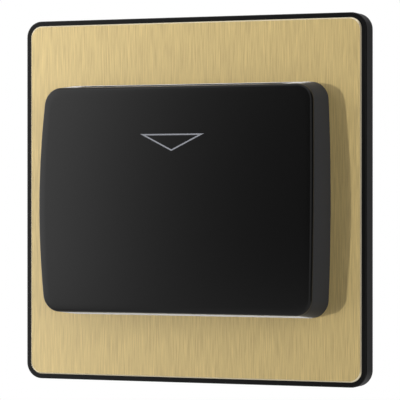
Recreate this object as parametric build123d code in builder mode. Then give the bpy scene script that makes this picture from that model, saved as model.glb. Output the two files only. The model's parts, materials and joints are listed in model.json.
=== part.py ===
# Key card switch: a wall plate with a card pocket, a see-saw lever and a relay module behind it.
# X is to the right, Y into the wall and Z up. The origin lies midway between the two wall
# screws, in the plane of the wall. Heights are counted from that plane towards the room, so
# a height of 5 is y = -5, and what is sunk into the wall box has heights below zero.

from build123d import *
import math
import os

os.makedirs("parts", exist_ok=True)

# Wall plate
plate_size = 95.0
plate_corner = 4.2
surround_wall = 1.6
lip_width = 1.32
lip_round = 0.35
face_proud = 0.35
face_thickness = 0.8
face_corner = 3.0
face_chamfer = 0.3
face_fit = 0.05
web_thickness = 1.2
window_corner = 3.0

# Card pocket, for a card of the usual bank card size
card_width = 53.98
card_side_gap = 0.5
pocket_gap = 5.0
pocket_front_proud = 8.95
slot_margin = 0.6
slot_lead = 0.6
slot_lead_angle = 30
card_stop_z = -16.4
rib_width = 1.2
rib_x = (9.0, 24.0)
rib_top_gap = 1.3
rib_bottom_z = -14.0

# Card guide
guide_wall = 1.2
guide_top_gap = 1.55
rail_wall = 1.4
guide_lever_gap = 1.0
guide_window_top_z = -10.8
lug_offset = 3.71
lug_width = 4.4
lug_height = 7.0

# Card cover: room beside the guide, height at the metal face, draft of the sides, bow and crown
cover_side_room = 7.19
cover_base_height = 60.2
cover_draft_across = 0.44
cover_draft_upright = 1.3
cover_base_bow = 0.75
cover_base_corner = 4.8
cover_front_bow = 1.1
cover_front_corner = 4.3
cover_proud = 14.36
cover_wall = 2.0
cover_edge_round = 0.7
crown_radius_across = 522.0
crown_radius_upright = 209.0
crown_z = -4.1

# Arrow let into the cover
arrow_width = 16.0
arrow_height = 4.0
arrow_below_top = 12.15
arrow_line = 0.35
arrow_depth = 0.25

# Posts of the cover and the screws that hold it
post_offset = 3.11
post_inset = 5.35
post_radius = 2.6
cover_screw_radius = 1.1
cover_screw_length = 7.0
guide_post_radius = 2.2
guide_screw_radius = 0.9
guide_screw_length = 4.6
thread_fit = 0.03
hole_fit = 0.2
window_margin = 0.5

# Windows of the face plate and of the surround's web, hidden under the cover
face_window_cover_across = 2.88
face_window_cover_upright = 4.25
web_window_inset = 0.2
web_post_margin = 4.0
lever_notch_low_z = -24.6

# Mounting frame
frame_side_gap = 4.4
frame_corner = 3.0
frame_thickness = 1.8
frame_rim_width = 1.2
frame_rim_gap = 0.2
head_room = 0.44
wall_screw_spacing = 60.3
wall_slot_width = 4.0
wall_slot_length = 7.0
lever_rest_gap = 0.1

# Snap hooks between the surround and the mounting frame
hook_x = 22.0
hook_width = 8.0
hook_arm = 1.0
hook_nose = 1.0
hook_gap = 0.25
hook_side_gap = 0.5
hook_end = 0.3
ledge_depth = 0.9
ledge_fit = 0.1

# Rear housing and circuit board
housing_wall = 1.6
housing_corner = 3.0
housing_back_round = 0.8
board_spring_gap = 0.7
board_thickness = 1.6
board_gap = 0.2
column_inset = 2.5
column_sink = 0.6
frame_column_radius = 2.2
housing_column_radius = 2.9
housing_screw_radius = 0.92
housing_screw_length = 12.0
counterbore_radius = 1.9
counterbore_depth = 4.0

# Lever and its pin
pivot_depth = 6.0
pivot_z = -17.0
pin_radius = 1.0
pin_press_fit = 0.02
pin_running_fit = 0.06
hub_radius = 2.4
hub_half_width = 6.2
lever_half_width = 4.5
lever_thickness = 3.2
nose_back_gap = 0.3
nose_front_gap = 0.4
nose_top_z = -12.4
nose_foot = 1.5
nose_round = 1.4
nose_back_drop = 0.6
nose_crest_drop = 0.4
nose_front_drop = 2.0
nose_heel_drop = 1.0
nose_heel = 1.8
lever_tail_end = 12.6
lever_tail_thickness = 1.9
lever_arm_gap = 0.6
bump_radius = 0.9
bump_depth = 10.8
bump_top_z = -15.1
ear_gap = 0.2
ear_thickness = 1.8
ear_radius = 2.8

# Return spring and its seats
spring_x = -8.6
spring_depth = 11.2
spring_radius = 1.7
spring_wire = 0.4
spring_turns = 6
spring_seat_z = -8.0
spigot_radius = 1.0
spigot_height = 1.2
shelf_width = 5.0
shelf_thickness = 1.5

# Microswitch
switch_x = 6.0
switch_width = 20.0
switch_height = 10.0
switch_thickness = 6.4
switch_corner = 0.8
switch_bottom_z = -13.6
switch_hole_radius = 1.2
switch_hole_spacing = 9.5
switch_hole_rise = 7.2
button_x = 3.0
button_width = 2.8
button_depth = 2.4
button_height = 3.8
button_fit = 0.06
button_gap = 0.05
button_room = 0.25
button_travel = 1.1
contact_pin_radius = 0.5
contact_pin_spacing = 5.0
contact_pin_rise = 2.4
board_hole_fit = 0.1
pin_stub = 1.2

# Terminals
terminal_count = 4
terminal_pitch = 8.4
terminal_side_wall = 0.4
terminal_column_gap = 0.8
terminal_body_height = 10.4
terminal_body_top_z = -15.8
terminal_board_gap = 0.8
terminal_size = 6.0
terminal_length = 7.2
terminal_cover = 1.6
terminal_fit = 0.1
wire_bore_radius = 1.6
wire_bore_inset = 2.5
wire_slot_width = 4.6
terminal_screw_radius = 1.25
terminal_head_radius = 2.0
terminal_head_height = 1.3
terminal_screw_reach = 0.3

# Components on the board, each with its gaps to the board's edges and to its neighbours
relay_width = 19.0
relay_height = 15.5
relay_depth = 12.2
relay_top_gap = 8.85
relay_round = 0.6
relay_chamfer = 0.4
film_width = 17.5
film_height = 7.5
film_depth = 11.0
film_corner = 0.8
film_side_gap = 2.25
film_top_gap = 5.85
film_relay_gap = 1.95
electrolytic_radius = 4.0
electrolytic_length = 10.5
electrolytic_round = 0.5
electrolytic_side_gap = 1.6
electrolytic_film_gap = 2.25
varistor_radius = 3.6
varistor_thickness = 3.2
varistor_round = 0.8
varistor_gap = 3.6
fuse_radius = 1.9
fuse_length = 10.5
fuse_side_gap = 4.3
fuse_top_gap = 3.35
rectifier_width = 7.6
rectifier_height = 6.0
rectifier_depth = 3.0
rectifier_side_gap = 2.0
rectifier_switch_gap = 0.4
chip_width = 9.4
chip_height = 6.4
chip_depth = 3.3
chip_chamfer = 0.4
chip_x = 2.0
chip_z = 9.0
resistor_radius = 1.1
resistor_length = 6.3
resistor_count = 5
resistor_pitch = 4.0
resistor_x = -14.0
resistor_z = 0.0

# Heads and drives of the screws
head_ratio = 1.9
head_height_ratio = 1.1
drive_ratio = 2.2
drive_slot_ratio = 0.45
drive_depth_ratio = 0.5

# Heights in front of the wall that follow from the sizes above
web_back = frame_thickness + cover_screw_radius * head_height_ratio + head_room
web_front = web_back + web_thickness
face_front = web_front + face_thickness
surround_depth = face_front - face_proud
cover_front = face_front + cover_proud
pocket_front = face_front + pocket_front_proud
pocket_back = pocket_front - pocket_gap
guide_back = pocket_back - guide_wall

# Widths and places that follow
face_size = plate_size - 2 * lip_width
pocket_half = card_width / 2 + card_side_gap
slot_half = pocket_half + slot_margin
guide_half = pocket_half + rail_wall
cover_base_width = 2 * (guide_half + cover_side_room + cover_wall)
cover_front_width = cover_base_width - 2 * cover_draft_across
cover_front_height = cover_base_height - 2 * cover_draft_upright
guide_top_z = cover_base_height / 2 - cover_wall - guide_top_gap
rib_top_z = guide_top_z - rib_top_gap
post_x = guide_half + post_offset
post_z = cover_base_height / 2 - cover_wall - post_inset
lug_x = guide_half + lug_offset
post_places = [(x, z) for x in (-post_x, post_x) for z in (-post_z, post_z)]
lug_places = [(-lug_x, 0), (lug_x, 0)]
arrow_top_z = cover_front_height / 2 - arrow_below_top
arrow_tip_z = arrow_top_z - arrow_height
face_window_width = cover_base_width - 2 * face_window_cover_across
face_window_height = cover_base_height - 2 * face_window_cover_upright
web_window_width = face_window_width - 2 * web_window_inset
web_window_height = 2 * (post_z - web_post_margin)
frame_size = plate_size - 2 * (surround_wall + frame_side_gap)
hook_reach = frame_size / 2 + hook_gap

# Lever
nose_back = pocket_back + nose_back_gap
nose_front = pocket_front - nose_front_gap
lever_gap_half = lever_half_width + guide_lever_gap
arm_low_z = pivot_z - lever_thickness / 2
arm_top_z = pivot_z + lever_thickness / 2
tail_top_z = bump_top_z - bump_radius
tail_low_z = tail_top_z - lever_tail_thickness
frame_window_top_z = arm_top_z + lever_rest_gap
button_low_z = bump_top_z + button_gap

# Board, housing and terminals
board_depth = spring_depth + spring_radius + spring_wire + board_spring_gap
board_back = board_depth + board_thickness
terminal_body_width = terminal_count * terminal_pitch + 2 * terminal_side_wall
column_zone = terminal_column_gap + housing_column_radius + column_inset - board_gap
board_width = terminal_body_width + 2 * column_zone
board_height = 2 * (terminal_body_height - terminal_body_top_z)
board_side = board_width / 2
board_top_z = board_height / 2
housing_width = board_width + 2 * (board_gap + housing_wall)
housing_height = board_height + 2 * (board_gap + housing_wall)
column_x = housing_width / 2 - housing_wall - column_inset
column_z = housing_height / 2 - housing_wall - column_inset
column_places = [(x, z) for x in (-column_x, column_x) for z in (-column_z, column_z)]
terminal_front_depth = board_back + terminal_board_gap
terminal_back_depth = terminal_front_depth + terminal_size
housing_depth = terminal_back_depth + terminal_cover
wire_bore_depth = terminal_front_depth + wire_bore_inset
terminal_z = terminal_body_top_z - terminal_body_height / 2
terminal_places = [
    ((n - (terminal_count - 1) / 2) * terminal_pitch, terminal_z) for n in range(terminal_count)
]
switch_bore_places = [
    (switch_x + side * switch_hole_spacing / 2, switch_bottom_z + switch_hole_rise) for side in (-1, 1)
]
contact_places = [
    (switch_x + n * contact_pin_spacing, switch_bottom_z + contact_pin_rise) for n in (-1, 0, 1)
]

# Places of the components
film_x = film_side_gap + film_width / 2 - board_side
film_z = board_top_z - film_top_gap - film_height / 2
relay_x = film_x + film_width / 2 + film_relay_gap + relay_width / 2
relay_z = board_top_z - relay_top_gap - relay_height / 2
electrolytic_x = electrolytic_side_gap + electrolytic_radius - board_side
electrolytic_z = film_z - film_height / 2 - electrolytic_film_gap - electrolytic_radius
varistor_x = electrolytic_x + electrolytic_radius + varistor_gap + varistor_thickness / 2
fuse_x = fuse_side_gap + fuse_radius - board_side
fuse_z = electrolytic_z - electrolytic_radius - fuse_top_gap - fuse_length / 2
rectifier_x = board_side - rectifier_side_gap - rectifier_width / 2
rectifier_z = switch_bottom_z - rectifier_switch_gap - rectifier_height / 2


# A plane parallel to the wall, with the room on its outer side
def wall_plane(height):
    return Plane.XZ.offset(height)


# Outline with straight top and bottom, bowed sides and rounded corners
def bowed_outline(height, width, tall, bow, corner):
    side_end = width / 2 - bow
    with BuildSketch(wall_plane(height)) as outline:
        with BuildLine():
            right = ThreePointArc((side_end, -tall / 2), (width / 2, 0), (side_end, tall / 2))
            top = Line(right @ 1, (-side_end, tall / 2))
            left = ThreePointArc(top @ 1, (-width / 2, 0), (-side_end, -tall / 2))
            Line(left @ 1, right @ 0)
        make_face()
        fillet(outline.vertices(), corner)
    return outline.sketch


# Everything behind the cover's crowned front, moved in by the setback
def crown_block(setback):
    front_y = -cover_front + setback
    axis_y = -cover_front + crown_radius_across
    radius = crown_radius_upright - setback
    reach = plate_size / 2
    end_y = front_y + radius - math.sqrt(radius**2 - reach**2)
    with BuildPart() as block:
        with BuildSketch(Plane.YZ):
            with BuildLine():
                crown = ThreePointArc((end_y, crown_z - reach), (front_y, crown_z),
                                      (end_y, crown_z + reach))
                Polyline(crown @ 1, (face_front, crown_z + reach), (face_front, crown_z - reach),
                         crown @ 0)
            make_face()
        revolve(axis=Axis((0, axis_y, 0), (0, 0, 1)))
    return block.part


# The cover's body, with its sides moved in by inset and its front by setback
def cover_form(inset):
    base = bowed_outline(face_front, cover_base_width - 2 * inset, cover_base_height - 2 * inset,
                         cover_base_bow, cover_base_corner - inset)
    front = bowed_outline(cover_front, cover_front_width - 2 * inset, cover_front_height - 2 * inset,
                          cover_front_bow, cover_front_corner - inset)
    with BuildPart() as form:
        loft(sections=[base, front], ruled=True)
        add(crown_block(inset), mode=Mode.INTERSECT)
    return form.part


# Pan head screws with a cross drive: the heads lie behind the seat, the shanks in front of it
def screw_group(seat, places, radius, length, head_radius, head_height):
    with BuildPart() as screws:
        with BuildSketch(seat):
            with Locations(*places):
                Circle(radius)
        extrude(amount=length)
        with BuildSketch(seat):
            with Locations(*places):
                Circle(head_radius)
        extrude(amount=-head_height)
        with BuildSketch(seat.offset(-head_height)):
            with Locations(*places):
                Rectangle(radius * drive_ratio, radius * drive_slot_ratio)
                Rectangle(radius * drive_slot_ratio, radius * drive_ratio)
        extrude(amount=head_height * drive_depth_ratio, mode=Mode.SUBTRACT)
    return screws.part


# Surround: a tray that the metal face lies in, with hooks that snap behind the mounting frame
with BuildPart() as surround_frame:
    with BuildSketch(wall_plane(0)):
        RectangleRounded(plate_size, plate_size, plate_corner)
    extrude(amount=surround_depth)
    fillet(surround_frame.faces().sort_by(Axis.Y)[0].edges(), lip_round)
    with BuildSketch(wall_plane(0)):
        RectangleRounded(plate_size - 2 * surround_wall, plate_size - 2 * surround_wall,
                         plate_corner - surround_wall)
    extrude(amount=web_back, mode=Mode.SUBTRACT)
    with BuildSketch(wall_plane(web_front)):
        RectangleRounded(face_size + 2 * face_fit, face_size + 2 * face_fit, face_corner + face_fit)
    extrude(amount=face_front, mode=Mode.SUBTRACT)
    with BuildSketch(wall_plane(web_back)):
        RectangleRounded(web_window_width, web_window_height, window_corner)
        with Locations((0, lever_notch_low_z / 2)):
            Rectangle(2 * (lever_gap_half + window_margin), -lever_notch_low_z)
        with Locations(*post_places):
            Circle(cover_screw_radius + hole_fit)
    extrude(amount=web_thickness, mode=Mode.SUBTRACT)
    for side in (-1, 1):
        with BuildSketch(Plane.YZ) as hook:
            arm_in = side * hook_reach
            arm_out = side * (hook_reach + hook_arm)
            nose_in = side * (hook_reach - hook_gap - hook_nose)
            nose_top = ledge_depth - ledge_fit
            Polygon((-web_back, arm_in), (-nose_top, arm_in), (-nose_top, nose_in),
                    (-hook_end, arm_in), (-hook_end, arm_out), (-web_back, arm_out), align=None)
        for centre in (-hook_x, hook_x):
            extrude(hook.sketch.moved(Location((centre - hook_width / 2, 0, 0))), amount=hook_width)
surround_frame.part.label = "surround_frame"
export_step(surround_frame.part, "parts/surround_frame.step")

# Face plate: brushed metal with a window under the cover
with BuildPart() as face_plate:
    with BuildSketch(wall_plane(web_front)):
        RectangleRounded(face_size, face_size, face_corner)
        RectangleRounded(face_window_width, face_window_height, window_corner, mode=Mode.SUBTRACT)
    extrude(amount=face_thickness)
    chamfer(face_plate.faces().sort_by(Axis.Y)[0].outer_wire().edges(), face_chamfer)
face_plate.part.label = "face_plate"
export_step(face_plate.part, "parts/face_plate.step")

# Arrow: a thin triangle that follows the cover's crowned front
with BuildPart() as arrow_mark:
    with BuildSketch(wall_plane(pocket_front)):
        triangle = Polygon((-arrow_width / 2, arrow_top_z), (0, arrow_tip_z),
                           (arrow_width / 2, arrow_top_z), align=None, mode=Mode.PRIVATE)
        offset(triangle, amount=arrow_line / 2, kind=Kind.INTERSECTION)
        offset(triangle, amount=-arrow_line / 2, kind=Kind.INTERSECTION, mode=Mode.SUBTRACT)
    extrude(amount=cover_proud)
    add(crown_block(0), mode=Mode.INTERSECT)
    add(crown_block(arrow_depth), mode=Mode.SUBTRACT)
arrow_mark.part.label = "arrow_mark"
export_step(arrow_mark.part, "parts/arrow_mark.step")

# Card ribs and screw posts, which end inside the cover's front wall
with BuildPart() as cover_ribs:
    rib_z = (rib_top_z + rib_bottom_z) / 2
    with BuildSketch(wall_plane(pocket_front)):
        for x in rib_x:
            with Locations((-x, rib_z), (x, rib_z)):
                Rectangle(rib_width, rib_top_z - rib_bottom_z)
    extrude(amount=cover_proud)
    with BuildSketch(wall_plane(pocket_back)):
        with Locations(*lug_places):
            Circle(guide_post_radius)
    extrude(amount=cover_proud)
    with BuildSketch(wall_plane(web_front)):
        with Locations(*post_places):
            Circle(post_radius)
    extrude(amount=2 * cover_proud)
    add(crown_block(cover_wall / 2), mode=Mode.INTERSECT)

# Card cover: a shell with the card slot in its top
with BuildPart() as card_cover:
    add(cover_form(0))
    fillet(card_cover.faces().sort_by(Axis.Y)[0].edges(), cover_edge_round)
    add(cover_form(cover_wall), mode=Mode.SUBTRACT)
    add(cover_ribs.part)
    with BuildSketch(wall_plane(web_front)):
        with Locations(*post_places):
            Circle(cover_screw_radius + thread_fit)
    extrude(amount=cover_screw_length, mode=Mode.SUBTRACT)
    with BuildSketch(wall_plane(pocket_back)):
        with Locations(*lug_places):
            Circle(guide_screw_radius + thread_fit)
    extrude(amount=guide_screw_length, mode=Mode.SUBTRACT)
    slot_low_z = cover_front_height / 2 - 2 * cover_wall
    with BuildSketch(Plane.XY.offset(slot_low_z)):
        with Locations((0, -(pocket_front + pocket_back) / 2)):
            Rectangle(2 * slot_half, pocket_gap)
    extrude(amount=3 * cover_wall, mode=Mode.SUBTRACT)
    with BuildSketch(Plane.XY.offset(cover_front_height / 2 - slot_lead)):
        with Locations((0, -(pocket_front + pocket_back) / 2)):
            Rectangle(2 * slot_half, pocket_gap)
    extrude(amount=cover_wall, taper=-slot_lead_angle, mode=Mode.SUBTRACT)
    add(arrow_mark.part, mode=Mode.SUBTRACT)
card_cover.part.label = "card_cover"
export_step(card_cover.part, "parts/card_cover.step")

with BuildPart() as cover_screws:
    add(screw_group(wall_plane(web_back), post_places, cover_screw_radius, cover_screw_length,
                    cover_screw_radius * head_ratio, cover_screw_radius * head_height_ratio))
cover_screws.part.label = "cover_screws"
export_step(cover_screws.part, "parts/cover_screws.step")

# Card guide: back wall, side rails and stop of the pocket, with a gap for the lever's nose
with BuildPart() as card_guide:
    guide_low_z = card_stop_z - guide_wall
    with BuildSketch(wall_plane(guide_back)):
        with Locations((0, (guide_top_z + guide_low_z) / 2)):
            Rectangle(2 * guide_half, guide_top_z - guide_low_z)
        Rectangle(2 * lug_x + lug_width, lug_height)
        with Locations((0, (guide_window_top_z + guide_low_z) / 2)):
            Rectangle(2 * lever_gap_half, guide_window_top_z - guide_low_z, mode=Mode.SUBTRACT)
        with Locations(*lug_places):
            Circle(guide_screw_radius + hole_fit, mode=Mode.SUBTRACT)
    extrude(amount=guide_wall)
    with BuildSketch(wall_plane(pocket_back)):
        with Locations((0, (guide_top_z + guide_low_z) / 2)):
            Rectangle(2 * guide_half, guide_top_z - guide_low_z)
        with Locations((0, (guide_top_z + card_stop_z) / 2)):
            Rectangle(2 * pocket_half, guide_top_z - card_stop_z, mode=Mode.SUBTRACT)
        with Locations((0, (card_stop_z + guide_low_z) / 2)):
            Rectangle(2 * lever_gap_half, guide_wall, mode=Mode.SUBTRACT)
    extrude(amount=pocket_gap)
card_guide.part.label = "card_guide"
export_step(card_guide.part, "parts/card_guide.step")

with BuildPart() as guide_screws:
    add(screw_group(wall_plane(guide_back), lug_places, guide_screw_radius, guide_screw_length,
                    guide_screw_radius * head_ratio, guide_screw_radius * head_height_ratio))
guide_screws.part.label = "guide_screws"
export_step(guide_screws.part, "parts/guide_screws.step")

# Mounting frame: the plate on the wall box, which carries the lever, the spring and the board
with BuildPart() as mounting_frame:
    with BuildSketch(wall_plane(0)):
        RectangleRounded(frame_size, frame_size, frame_corner)
    extrude(amount=frame_thickness)
    with BuildSketch(wall_plane(frame_thickness)):
        RectangleRounded(frame_size, frame_size, frame_corner)
        RectangleRounded(frame_size - 2 * frame_rim_width, frame_size - 2 * frame_rim_width,
                         frame_corner - frame_rim_width, mode=Mode.SUBTRACT)
    extrude(amount=web_back - frame_rim_gap - frame_thickness)
    with BuildSketch(wall_plane(0)):
        with Locations((-wall_screw_spacing / 2, 0), (wall_screw_spacing / 2, 0)):
            SlotOverall(wall_slot_length, wall_slot_width)
        with Locations((0, (frame_window_top_z + lever_notch_low_z) / 2)):
            Rectangle(2 * lever_gap_half, frame_window_top_z - lever_notch_low_z)
    extrude(amount=frame_thickness, mode=Mode.SUBTRACT)
    with BuildSketch(wall_plane(0)):
        for side in (-1, 1):
            with Locations((-hook_x, side * frame_size / 2), (hook_x, side * frame_size / 2)):
                Rectangle(hook_width + 2 * hook_side_gap, 2 * (hook_nose + hook_gap))
    extrude(amount=ledge_depth, mode=Mode.SUBTRACT)
    with BuildSketch(wall_plane(0)):
        with Locations(*column_places):
            Circle(frame_column_radius)
    extrude(amount=-board_depth)
    with BuildSketch(wall_plane(-board_depth)):
        with Locations(*column_places):
            Circle(housing_screw_radius + thread_fit)
    extrude(amount=housing_screw_length, mode=Mode.SUBTRACT)
    for side in (-1, 1):
        ear_start = side * (hub_half_width + ear_gap)
        with BuildSketch(Plane.YZ.offset(ear_start)):
            with Locations((pivot_depth, pivot_z)):
                Circle(ear_radius)
            with Locations((pivot_depth / 2, pivot_z)):
                Rectangle(pivot_depth, 2 * ear_radius)
            with Locations((pivot_depth, pivot_z)):
                Circle(pin_radius + pin_press_fit, mode=Mode.SUBTRACT)
        extrude(amount=side * ear_thickness)
    with BuildSketch(Plane.XY.offset(spring_seat_z)):
        with Locations((spring_x, (spring_depth + spring_radius + spring_wire) / 2)):
            Rectangle(shelf_width, spring_depth + spring_radius + spring_wire)
    extrude(amount=shelf_thickness)
    with BuildSketch(Plane.XY.offset(spring_seat_z)):
        with Locations((spring_x, spring_depth)):
            Circle(spigot_radius)
    extrude(amount=-spigot_height)
mounting_frame.part.label = "mounting_frame"
export_step(mounting_frame.part, "parts/mounting_frame.step")

# Lever: hub on the pin, nose in the card pocket, tail under the microswitch and the spring
with BuildPart() as card_lever:
    with BuildSketch(Plane.YZ):
        with BuildLine():
            Polyline((pivot_depth, arm_low_z), (pivot_depth, arm_top_z),
                     (-nose_back + nose_foot, arm_top_z), (-nose_back, nose_top_z - nose_back_drop),
                     (-nose_back - nose_round, nose_top_z),
                     (-nose_front + nose_round, nose_top_z - nose_crest_drop),
                     (-nose_front, nose_top_z - nose_front_drop), (-nose_front, arm_top_z - nose_heel_drop),
                     (-nose_front + nose_heel, arm_low_z), (pivot_depth, arm_low_z))
        make_face()
    extrude(amount=lever_half_width, both=True)
    with BuildSketch(Plane.YZ):
        with Locations(((pivot_depth + lever_tail_end) / 2, (tail_low_z + tail_top_z) / 2)):
            Rectangle(lever_tail_end - pivot_depth, lever_tail_thickness)
        with Locations((bump_depth, tail_top_z)):
            Circle(bump_radius)
    extrude(amount=lever_half_width, both=True)
    with BuildSketch(Plane.YZ):
        with Locations((pivot_depth, pivot_z)):
            Circle(hub_radius)
    extrude(amount=hub_half_width, both=True)
    arm_start = pivot_depth + ear_radius + lever_arm_gap
    arm_side = spring_x - shelf_width / 2
    with BuildSketch(Plane.XY.offset(tail_low_z)):
        with Locations(((arm_side - lever_half_width) / 2, (arm_start + lever_tail_end) / 2)):
            Rectangle(-arm_side - lever_half_width, lever_tail_end - arm_start)
    extrude(amount=lever_tail_thickness)
    with BuildSketch(Plane.XY.offset(tail_top_z)):
        with Locations((spring_x, spring_depth)):
            Circle(spigot_radius)
    extrude(amount=spigot_height)
    with BuildSketch(Plane.YZ):
        with Locations((pivot_depth, pivot_z)):
            Circle(pin_radius + pin_running_fit)
    extrude(amount=hub_half_width, both=True, mode=Mode.SUBTRACT)
card_lever.part.label = "card_lever"
export_step(card_lever.part, "parts/card_lever.step")

with BuildPart() as lever_pin:
    with BuildSketch(Plane.YZ):
        with Locations((pivot_depth, pivot_z)):
            Circle(pin_radius)
    extrude(amount=hub_half_width + ear_gap + ear_thickness, both=True)
lever_pin.part.label = "lever_pin"
export_step(lever_pin.part, "parts/lever_pin.step")

# Return spring, between the lever's tail and the shelf
with BuildPart() as return_spring:
    spring_length = spring_seat_z - tail_top_z - spring_wire
    with BuildLine() as coil:
        Helix(pitch=spring_length / spring_turns, height=spring_length, radius=spring_radius,
              center=(spring_x, spring_depth, tail_top_z + spring_wire / 2))
    with BuildSketch(Plane(origin=coil.line @ 0, z_dir=coil.line % 0)):
        Circle(spring_wire / 2)
    sweep(is_frenet=True)
return_spring.part.label = "return_spring"
export_step(return_spring.part, "parts/return_spring.step")

# Microswitch: body, push button and contact pins
with BuildPart() as microswitch_body:
    with BuildSketch(wall_plane(-board_depth)):
        with Locations((switch_x, switch_bottom_z + switch_height / 2)):
            RectangleRounded(switch_width, switch_height, switch_corner)
        with Locations(*switch_bore_places):
            Circle(switch_hole_radius, mode=Mode.SUBTRACT)
    extrude(amount=switch_thickness)
    with BuildSketch(Plane.XY.offset(switch_bottom_z)):
        with Locations((button_x, bump_depth)):
            Rectangle(button_width + 2 * button_fit, button_depth + 2 * button_fit)
    button_pocket = button_low_z + button_height + button_travel + button_room - switch_bottom_z
    extrude(amount=button_pocket, mode=Mode.SUBTRACT)
microswitch_body.part.label = "microswitch_body"
export_step(microswitch_body.part, "parts/microswitch_body.step")

with BuildPart() as switch_button:
    with BuildSketch(Plane.XY.offset(button_low_z)):
        with Locations((button_x, bump_depth)):
            Rectangle(button_width, button_depth)
    extrude(amount=button_height)
switch_button.part.label = "switch_button"
export_step(switch_button.part, "parts/switch_button.step")

with BuildPart() as switch_pins:
    with BuildSketch(wall_plane(-board_depth)):
        with Locations(*contact_places):
            Circle(contact_pin_radius)
    extrude(amount=-(board_thickness + pin_stub))
switch_pins.part.label = "switch_pins"
export_step(switch_pins.part, "parts/switch_pins.step")

# Circuit board, clamped between the columns of the frame and of the housing
with BuildPart() as circuit_board:
    with BuildSketch(wall_plane(-board_depth)):
        RectangleRounded(board_width, board_height, housing_corner - housing_wall)
        with Locations(*column_places):
            Circle(housing_screw_radius + hole_fit, mode=Mode.SUBTRACT)
        with Locations(*contact_places, *terminal_places):
            Circle(contact_pin_radius + board_hole_fit, mode=Mode.SUBTRACT)
    extrude(amount=-board_thickness)
circuit_board.part.label = "circuit_board"
export_step(circuit_board.part, "parts/circuit_board.step")

# Relay, capacitors, varistor, fuse and rectifier stand on the board's front
with BuildPart() as relay:
    with BuildSketch(wall_plane(-board_depth)):
        with Locations((relay_x, relay_z)):
            Rectangle(relay_width, relay_height)
    extrude(amount=relay_depth)
    fillet(relay.edges().filter_by(Axis.Y), relay_round)
    chamfer(relay.faces().sort_by(Axis.Y)[0].edges(), relay_chamfer)
relay.part.label = "relay"
export_step(relay.part, "parts/relay.step")

with BuildPart() as film_capacitor:
    with BuildSketch(wall_plane(-board_depth)):
        with Locations((film_x, film_z)):
            RectangleRounded(film_width, film_height, film_corner)
    extrude(amount=film_depth)
film_capacitor.part.label = "film_capacitor"
export_step(film_capacitor.part, "parts/film_capacitor.step")

with BuildPart() as electrolytic_capacitor:
    with BuildSketch(wall_plane(-board_depth)):
        with Locations((electrolytic_x, electrolytic_z)):
            Circle(electrolytic_radius)
    extrude(amount=electrolytic_length)
    fillet(electrolytic_capacitor.edges(), electrolytic_round)
electrolytic_capacitor.part.label = "electrolytic_capacitor"
export_step(electrolytic_capacitor.part, "parts/electrolytic_capacitor.step")

with BuildPart() as varistor:
    with BuildSketch(Plane.YZ.offset(varistor_x - varistor_thickness / 2)):
        with Locations((board_depth - varistor_radius, electrolytic_z)):
            Circle(varistor_radius)
    extrude(amount=varistor_thickness)
    fillet(varistor.edges(), varistor_round)
varistor.part.label = "varistor"
export_step(varistor.part, "parts/varistor.step")

with BuildPart() as fuse:
    with BuildSketch(Plane.XY.offset(fuse_z - fuse_length / 2)):
        with Locations((fuse_x, board_depth - fuse_radius)):
            Circle(fuse_radius)
    extrude(amount=fuse_length)
fuse.part.label = "fuse"
export_step(fuse.part, "parts/fuse.step")

with BuildPart() as rectifier:
    with BuildSketch(wall_plane(-board_depth)):
        with Locations((rectifier_x, rectifier_z)):
            Rectangle(rectifier_width, rectifier_height)
    extrude(amount=rectifier_depth)
    chamfer(rectifier.faces().sort_by(Axis.Y)[0].edges(), chip_chamfer)
rectifier.part.label = "rectifier"
export_step(rectifier.part, "parts/rectifier.step")

# Controller and resistors lie on the board's back
with BuildPart() as controller_chip:
    with BuildSketch(wall_plane(-board_back)):
        with Locations((chip_x, chip_z)):
            Rectangle(chip_width, chip_height)
    extrude(amount=-chip_depth)
    chamfer(controller_chip.faces().sort_by(Axis.Y)[-1].edges(), chip_chamfer)
controller_chip.part.label = "controller_chip"
export_step(controller_chip.part, "parts/controller_chip.step")

with BuildPart() as resistors:
    with BuildSketch(Plane.YZ.offset(resistor_x - resistor_length / 2)):
        for n in range(resistor_count):
            with Locations((board_back + resistor_radius, resistor_z + n * resistor_pitch)):
                Circle(resistor_radius)
    extrude(amount=resistor_length)
resistors.part.label = "resistors"
export_step(resistors.part, "parts/resistors.step")

# Terminal block on the board's back: cells for four clamps, open at the bottom for the wires
with BuildPart() as terminal_body:
    with BuildSketch(wall_plane(-board_back)):
        with Locations((0, terminal_z)):
            Rectangle(terminal_body_width, terminal_body_height)
    extrude(amount=-(housing_depth - board_back))
    cell_top_z = terminal_z + terminal_length / 2 + terminal_fit
    with BuildSketch(wall_plane(-board_back)):
        for x, z in terminal_places:
            with Locations((x, cell_top_z - terminal_body_height / 2)):
                Rectangle(terminal_size + 2 * terminal_fit, terminal_body_height)
    extrude(amount=-(terminal_back_depth + terminal_fit - board_back), mode=Mode.SUBTRACT)
    with BuildSketch(wall_plane(-housing_depth)):
        with Locations(*terminal_places):
            Circle(terminal_head_radius + hole_fit)
    extrude(amount=housing_depth - terminal_back_depth, mode=Mode.SUBTRACT)
terminal_body.part.label = "terminal_body"
export_step(terminal_body.part, "parts/terminal_body.step")

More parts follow.
